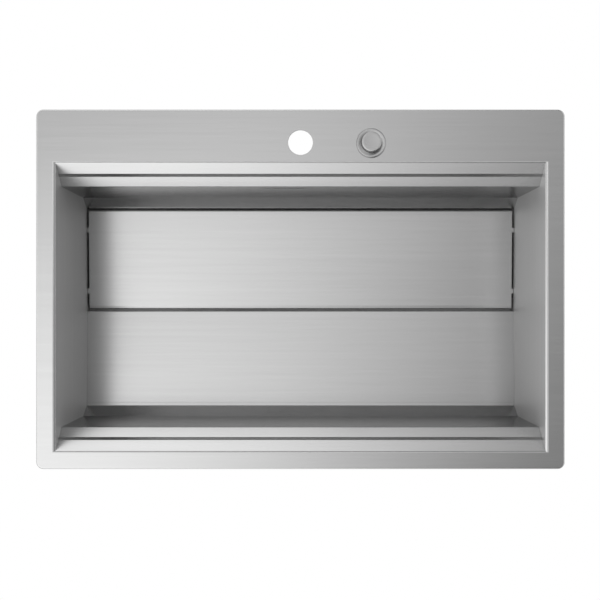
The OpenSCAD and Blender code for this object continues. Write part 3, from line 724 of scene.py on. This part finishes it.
hose_plastic = moulded("hose_plastic", (0.36, 0.37, 0.38), 0.40, 700.0, 0.01 * mm)
hose = smooth(piece("corrugated_hose", drawn(
    along_route(hose_route, hose_pitch / 6), hose_outside, 32), hose_plastic), 70)
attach(hose, "sink")
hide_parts("overflow_hose")

rib_rise, first_rib, rib_pitch, rib_count = 0.8 * mm, 2 * mm, 3.4 * mm, 4
cuff_outline = [(cuff_bore, 0), (cuff_radius - rib_rise, 0)]
for rib in range(rib_count):
    rib_low = first_rib + rib * rib_pitch
    cuff_outline += [
        (cuff_radius - rib_rise, rib_low), (cuff_radius, rib_low + 0.5 * mm),
        (cuff_radius, rib_low + 1.3 * mm), (cuff_radius - rib_rise, rib_low + 1.8 * mm)]
cuff_outline += [(cuff_radius - rib_rise, cuff_length), (cuff_bore, cuff_length)]
upper_turn = Matrix.Translation(hose_route[0])
lower_turn = (Matrix.Translation(hose_route[-1] - Vector((0, cuff_length, 0)))
              @ Matrix.Rotation(math.radians(-90), 4, "X"))
cuff_work = bmesh.new()
for placing in (upper_turn, lower_turn):
    one_cuff = turned(cuff_outline, 64)
    bmesh.ops.transform(one_cuff, matrix=placing, verts=one_cuff.verts)
    held = bpy.data.meshes.new("one_cuff")
    one_cuff.to_mesh(held)
    one_cuff.free()
    cuff_work.from_mesh(held)
    bpy.data.meshes.remove(held)
cuffs = refined(piece("ribbed_cuffs", cuff_work, black_rubber), 0.2 * mm, 2, 30)
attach(cuffs, "sink")
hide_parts("hose_cuffs")

# --- Control body, its gasket and its nut ---
# The threaded plastic shank that goes down through the deck. A thin gasket lies under the
# bezel, and a hexagon nut pulls the shank down from below.
control_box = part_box("control_body")
control_middle = Vector(((control_box[0].x + control_box[1].x) / 2,
                         (control_box[0].y + control_box[1].y) / 2, 0))
control_low, control_top = control_box[0].z, control_box[1].z
shank_radius, shank_bore = 16.5 * mm, 14.05 * mm
socket_radius, socket_bore, socket_height = 6 * mm, 3.3 * mm, 6 * mm
shank_wall = 4 * mm
shank_pitch, shank_thread_depth = 1.5 * mm, 0.8 * mm

shank_end = control_low + socket_height
shank_lead = 0.7 * mm
shank_work = turned([
    (socket_bore, control_low), (socket_radius, control_low), (socket_radius, shank_end),
    (shank_radius - shank_lead, shank_end),
    *thread_rows(shank_radius, shank_end + shank_lead, control_top, shank_pitch),
    (shank_bore, control_top), (shank_bore, shank_end + shank_wall),
    (socket_bore, shank_end + shank_wall)])
cut_thread(shank_work, shank_radius, shank_end + shank_lead, deck_high.z - 2 * mm, shank_pitch,
           shank_thread_depth)
bmesh.ops.translate(shank_work, verts=shank_work.verts, vec=control_middle)
shank = smooth(piece("threaded_shank", shank_work, black_plastic))
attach(shank, "sink")
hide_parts("control_body")
dressed("control_gasket", black_rubber, 0.15 * mm)
dressed("control_nut", black_plastic, 0.8 * mm, 3)

# --- Bezel ---
# A turned ring, plated and given a satin finish, that covers the hole in the deck. It has a
# steep flank outside, a flat top, and a rounded inner edge where the button passes through.
bezel_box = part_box("control_bezel")
bezel_radius = (bezel_box[1].x - bezel_box[0].x) / 2
bezel_low, bezel_top = bezel_box[0].z, bezel_box[1].z
bezel_bore = 14.1 * mm


def satin_plate(name, middle, tone, roughness):
    """Turned metal with a satin plating, whose marks run in rings about its middle."""
    finish = Finish(name, {"Metallic": 1.0, "Specular Tint": (0.6, 0.6, 0.6, 1.0)})
    spot = finish.node("TexCoord", {}, {}, "Object")
    out = finish.node("VectorMath", {"operation": "SUBTRACT"}, {0: spot, 1: middle})
    flat = finish.node("VectorMath", {"operation": "MULTIPLY"}, {0: out, 1: (1, 1, 0)})
    reach = finish.node("VectorMath", {"operation": "LENGTH"}, {0: flat}, "Value")
    rings = finish.node("TexNoise", {"noise_dimensions": "1D"}, {"W": reach * 1400.0, "Detail": 2})
    clouds = finish.grain((60.0, 60.0, 60.0))
    dark = [0.92 * tone] * 3
    light = [1.08 * tone] * 3
    finish.set({
        "Base Color": finish.between(0.6 * rings + 0.4 * clouds, dark, light),
        "Roughness": roughness - 0.05 + 0.06 * rings + 0.04 * clouds,
        "Normal": finish.relief(rings, 0.003 * mm),
    })
    return finish.material


satin_control = satin_plate("satin_control", tuple(control_middle), 0.48, 0.26)
bezel_flank = 1.2 * mm
bezel_outline = [
    (bezel_bore, bezel_low), (bezel_radius - 0.1 * mm, bezel_low),
    (bezel_radius, bezel_low + 0.2 * mm),
    (bezel_radius - bezel_flank, bezel_top - 0.15 * mm),
    (bezel_radius - bezel_flank - 0.25 * mm, bezel_top), (bezel_bore + 0.7 * mm, bezel_top),
    (bezel_bore + 0.2 * mm, bezel_top - 0.2 * mm), (bezel_bore, bezel_top - 0.6 * mm)]
bezel_work = turned(bezel_outline, 128)
bmesh.ops.translate(bezel_work, verts=bezel_work.verts, vec=control_middle)
bezel = smooth(piece("turned_bezel", bezel_work, satin_control), 25)
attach(bezel, "sink")
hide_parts("control_bezel")

# --- Push button ---
# A turned and plated button with a dished top, a skirt that slides in the shank, and a plunger
# rod that pushes the cable's core.
button_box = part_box("push_button")
button_radius = (button_box[1].x - button_box[0].x) / 2
button_low, button_top = button_box[0].z, button_box[1].z
button_wall, button_crown, skirt_end = 2 * mm, 3.5 * mm, -12 * mm
plunger_radius = 3 * mm

button_outline = [
    (0, button_low), (plunger_radius - 0.5 * mm, button_low),
    (plunger_radius, button_low + 0.5 * mm), (plunger_radius, button_top - button_crown),
    (button_radius - button_wall, button_top - button_crown),
    (button_radius - button_wall, skirt_end), (button_radius, skirt_end)]
shoulder_width, shoulder_height = 1.1 * mm, 2 * mm
for i in range(11):
    turn = math.radians(90 * i / 10)
    button_outline.append((button_radius - shoulder_width * (1 - math.cos(turn)),
                           button_top - shoulder_height * (1 - math.sin(turn))))
dish = 0.25 * mm
for share in (0.8, 0.6, 0.4, 0.2, 0.0):
    button_outline.append(((button_radius - shoulder_width) * share,
                           button_top - dish * (1 - share ** 2)))
button_work = turned(button_outline, 128)
bmesh.ops.translate(button_work, verts=button_work.verts, vec=control_middle)
button = smooth(piece("turned_button", button_work, satin_control), 25)
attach(button, "button")
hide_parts("push_button")

# --- Return spring ---
# A coil of 1.4 mm steel wire with closed ends, between the shank's floor and the underside of
# the button.
spring_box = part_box("control_spring")
wire_radius, spring_turns, button_travel = 0.7 * mm, 9, 6 * mm
coil_radius = (spring_box[1].x - spring_box[0].x) / 2 - wire_radius
coil_low, coil_high = spring_box[0].z + wire_radius, spring_box[1].z - wire_radius
end_rise = 2.1 * wire_radius  # of the closed turn at each end
turn_steps, wire_sides = 28, 12
coil_places = []
for i in range(spring_turns * turn_steps + 1):
    turns = i / turn_steps
    open_share = min(max((turns - 1) / (spring_turns - 2), 0), 1)
    closed = min(turns, 1) + max(turns - spring_turns + 1, 0)
    coil_places.append(Vector((
        control_middle.x + coil_radius * math.cos(math.tau * turns),
        control_middle.y + coil_radius * math.sin(math.tau * turns),
        coil_low + closed * end_rise + open_share * (coil_high - coil_low - 2 * end_rise))))
coil_work = drawn(coil_places, lambda reach: wire_radius, wire_sides)
spring = smooth(piece("wound_spring", coil_work, plain_steel), 60)
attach(spring, "sink")
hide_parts("control_spring")
spring_length = coil_high - coil_low + 2 * wire_radius
(spring_length - button_travel) / spring_length
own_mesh(spring)

# --- Cable and its ferrules ---
# The push cable's black sheath, 5 mm outside, from the control down to the lever housing, with
# a crimped steel ferrule at each end.
sheath_radius = 2.5 * mm
crank_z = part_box("cable_sheath")[0].z + sheath_radius
cable_route = [Vector(point) * mm for point in (
    (100, 232, -66), (100, 232, -90), (100, 232, -130), (98, 231, -175), (94, 226, -215),
    (87, 212, -250), (79, 190, -279), (73, 163, -295), (71.5, 145, crank_z / mm),
    (71.5, 131.544, crank_z / mm))]

cable_skin = moulded("cable_skin", (0.022, 0.022, 0.023), 0.36, 500.0, 0.01 * mm)
sheath = smooth(piece("push_cable", drawn(
    along_route(cable_route, 4 * mm), lambda reach: sheath_radius, 20), cable_skin), 70)
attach(sheath, "sink")
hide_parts("cable_sheath")
dressed("cable_ferrules", plain_steel, 0.4 * mm, 3)

# --- Rim seal ---
# A strip of closed-cell foam, stuck under the flange just inside its folded edge. It seals the
# flange against the worktop.
foam = Finish("rim_foam", {"Specular IOR Level": 0.2})
foam_cells = foam.node("TexVoronoi", {"feature": "F1"},
                       {"Vector": foam.stretched((1300.0, 1300.0, 1300.0)), "Scale": 1.0})
foam_clouds = foam.grain((40.0, 40.0, 40.0), 3.0)
foam.set({
    "Base Color": foam.between(0.6 * foam_cells + 0.4 * foam_clouds, (0.020, 0.020, 0.021),
                               (0.055, 0.055, 0.057)),
    "Roughness": 0.82 + 0.12 * foam_cells,
    "Normal": foam.relief(foam_cells, 0.15 * mm, 0.7),
})
dressed("rim_seal", foam.material, 0.4 * mm)

# --- Clamps ---
# Nine zinc-plated clamps: a hook that slides in the rail's slot, an M5 screw with a slotted
# head, and a pressed jaw that the screw pulls up against the underside of the worktop.
clamp_inset = 17.5 * mm
side_clamp_y, wide_clamp_x = 130 * mm, 250 * mm
clamp_radius, clamp_pitch, clamp_thread_depth = 2.45 * mm, 0.8 * mm, 0.4 * mm
clamp_head_radius, clamp_head_height = 4.5 * mm, 3.2 * mm
clamp_slot_width, clamp_slot_depth = 1.2 * mm, 1.4 * mm

plated_steel = polished_steel("plated_steel", 0.52, 0.30, 0.06)
dressed("clamp_hooks", plated_steel, small_edge)
dressed("clamp_jaws", plated_steel, 0.4 * mm, 3)

clamp_low, clamp_top = (corner.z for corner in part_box("clamp_screws"))
head_top, head_break = clamp_low + clamp_head_height, 0.4 * mm
clamp_work = turned([
    (0, clamp_low), (clamp_head_radius - head_break, clamp_low),
    (clamp_head_radius, clamp_low + head_break), (clamp_head_radius, head_top),
    *thread_rows(clamp_radius, head_top, clamp_top, clamp_pitch), (0, clamp_top)], 20)
cut_thread(clamp_work, clamp_radius, head_top, clamp_top, clamp_pitch, clamp_thread_depth)
one_screw = piece("one_clamp_screw", clamp_work, plated_steel)
slot_work = bmesh.new()
bmesh.ops.create_cube(slot_work, size=1.0, matrix=Matrix.LocRotScale(
    Vector((0, 0, clamp_low)), None,
    Vector((3 * clamp_head_radius, clamp_slot_width, 2 * clamp_slot_depth))))
cut(one_screw, piece("clamp_slot_tool", slot_work, plated_steel))

rail_x = deck_high.x - clamp_inset
clamp_spots = [(x, y) for x in (-rail_x, rail_x) for y in (-side_clamp_y, side_clamp_y)]
clamp_spots += [(x, deck_low.y + clamp_inset) for x in (-wide_clamp_x, 0, wide_clamp_x)]
clamp_spots += [(x, deck_high.y - clamp_inset) for x in (-wide_clamp_x, wide_clamp_x)]
screws_work = bmesh.new()
for x, y in clamp_spots:
    placed = one_screw.data.copy()
    placed.transform(Matrix.Translation((x, y, 0)))
    screws_work.from_mesh(placed)
    bpy.data.meshes.remove(placed)
bpy.data.objects.remove(one_screw)
screws = smooth(piece("threaded_clamp_screws", screws_work, plated_steel))
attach(screws, "sink")
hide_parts("clamp_screws")

# --- Drain cover ---
# The loose cover over the trough: 1.5 mm stainless sheet, ground like the bowl, with a skirt
# folded down at the rear, a bent lip at the front and two locating tabs at each end.
cover_low_corner, cover_high_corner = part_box("drain_cover")
cover_sheet = 1.5 * mm
cover_end_gap = 3.5 * mm
cover_half = opening_side - cover_end_gap
cover_lip_radius = 4 * mm
lip_width, lip_drop = 4.6 * mm, 1.5 * mm
lip_inside, lip_edge_inside = 3 * mm, 0.5 * mm
cover_skirt = 8 * mm
cover_front, cover_rear = cover_low_corner.y, cover_high_corner.y
cover_top = cover_high_corner.z
cover_lip_z = floor_edge - floor_fall - 1 * mm
tab_middles, tab_width = (26 * mm, 125 * mm), 8 * mm

roll_y = cover_front + cover_lip_radius
cover_slope = (cover_top - cover_lip_z) / (cover_rear - roll_y)


def on_cover(y):
    return Vector((y, cover_lip_z + (y - roll_y) * cover_slope))


cover_bends = [Vector((cover_rear, cover_top - cover_skirt)), Vector((cover_rear, cover_top))]
cover_insides = [fold_inside_radius]
for middle in tab_middles[::-1]:
    for side in (1, -1):
        cover_bends.append(on_cover(middle + side * tab_width / 2))
        cover_insides.append(0)
cover_bends += [
    on_cover(cover_front + lip_width),
    on_cover(cover_front) - Vector((0, lip_drop)),
    Vector((cover_front, cover_low_corner.z))]
cover_insides += [lip_inside, lip_edge_inside]
cover_work = sheet_work(cover_bends, cover_sheet, cover_insides, -cover_half, cover_half)
tab_length = cover_high_corner.x - cover_half
for side in (-1, 1):
    tab_faces = []
    for face in cover_work.faces:
        middle = face.calc_center_median()
        at_end = abs(middle.x - side * cover_half) < same_place and abs(face.normal.x) > 0.9
        if at_end and any(abs(middle.y - tab) < tab_width / 4 for tab in tab_middles):
            tab_faces.append(face)
    grown = bmesh.ops.extrude_face_region(cover_work, geom=tab_faces)["geom"]
    bmesh.ops.translate(cover_work, vec=(side * tab_length, 0, 0),
                        verts=[item for item in grown if isinstance(item, bmesh.types.BMVert)])
    bmesh.ops.delete(cover_work, geom=tab_faces, context="FACES_ONLY")
cover_steel = ground_steel("cover_steel", "X", **belt_ground)
cover = refined(piece("rolled_cover", cover_work, cover_steel), 0.2 * mm, 2, 50)
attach(cover, "cover")
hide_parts("drain_cover")

# --- Cover legs and feet ---
# Two angles of the same steel, welded under the cover, that stand in the trough on four soft
# silicone feet.
soft_silicone = moulded("soft_silicone", (0.30, 0.31, 0.32), 0.50, 600.0, 0.01 * mm)
dressed("cover_legs", cover_steel, 0.3 * mm)
dressed("cover_feet", soft_silicone, 0.5 * mm, 3)

# --- Studio ---
# A pale floor just below the sink, soft light from a dome that is brightest on the left, and a
# camera high above the bowl. The floor is white to the camera and can't be seen from below.
floor_gap = 2 * mm
floor_level = cad_box[0].z - floor_gap
floor_half = 3.0
ground = bpy.data.meshes.new("studio_floor")
ground.from_pydata([(x, y, floor_level) for x, y in (
    (-floor_half, -floor_half), (floor_half, -floor_half),
    (floor_half, floor_half), (-floor_half, floor_half))], [], [(0, 1, 2, 3)])
studio_floor = bpy.data.objects.new("studio_floor", ground)
bpy.context.scene.collection.objects.link(studio_floor)
pale = Finish("pale_floor", {"Base Color": (0.55, 0.55, 0.55, 1.0), "Roughness": 0.9})
seen_straight = pale.node("LightPath", {}, {}, "Is Camera Ray")
lit_white = pale.node("Emission", {}, {"Color": (1.0, 1.0, 1.0, 1.0), "Strength": 1.0})
soft_grey = Value(pale, pale.shader.outputs[0])
pale_front = pale.node("MixShader", {}, {0: seen_straight, 1: soft_grey, 2: lit_white})
from_below = pale.node("NewGeometry", {}, {}, "Backfacing")
clear = pale.node("BsdfTransparent", {}, {})
one_sided = pale.node("MixShader", {}, {0: from_below, 1: pale_front, 2: clear})
pale.feed(pale.tree.nodes["Material Output"].inputs["Surface"], one_sided)
ground.materials.append(pale.material)

camera_height, picture_margin = 1.34, 1.1338
view_field = picture_margin * (deck_high.x - deck_low.x)
lens_shift = (-0.00083, 0.0115)  # shares of the picture's width
camera = bpy.data.objects.new("camera", bpy.data.cameras.new("camera"))
bpy.context.scene.collection.objects.link(camera)
camera.location = (0, 0, deck_high.z + camera_height)
camera.data.sensor_width = 36
camera.data.lens = camera.data.sensor_width * camera_height / view_field
camera.data.shift_x, camera.data.shift_y = lens_shift
bpy.context.scene.camera = camera

dome = bpy.data.worlds.new("dome")
bpy.context.scene.world = dome
dome.use_nodes = True
dome.node_tree.nodes.clear()
sky = Nodes(dome.node_tree)
bearing = sky.node("TexCoord", {}, {}, "Generated")
to_right, to_rear, upward = (
    sky.node("SeparateXYZ", {}, {0: bearing}, axis) for axis in "XYZ")
widest = 0.3
far_right = sky.node("Clamp", {}, {"Value": to_right - widest, "Min": 0.0, "Max": 1.0})
to_right = sky.node("Clamp", {}, {"Value": to_right, "Min": -widest, "Max": widest})
to_rear = sky.node("Clamp", {}, {"Value": to_rear, "Min": -widest, "Max": widest})
upward = sky.node("Clamp", {}, {"Value": upward, "Min": 0.0, "Max": 1.0})
overhead = upward * upward
# The power of e: a level, its fall to the right and to both sides, its change from corner to
# corner and from front to rear overhead, and a rise near the horizon and on the far right.
brightness = (0.38 - 2.4 * to_right - 6.9 * to_right * to_right
              + (8.7 * to_right - 0.15 - 4.2 * to_rear) * to_rear * overhead
              + 0.25 * (1.0 - upward) + 2.2 * far_right)
soft_light = sky.node("Background", {}, {"Strength": math.e ** brightness})
plain_white = sky.node("Background", {}, {"Color": (1.0, 1.0, 1.0, 1.0)})
straight = sky.node("LightPath", {}, {}, "Is Camera Ray")
mixed = sky.node("MixShader", {}, {0: straight, 1: soft_light, 2: plain_white})
sky.node("OutputWorld", {}, {0: mixed})
bpy.context.scene.view_settings.view_transform = "Standard"
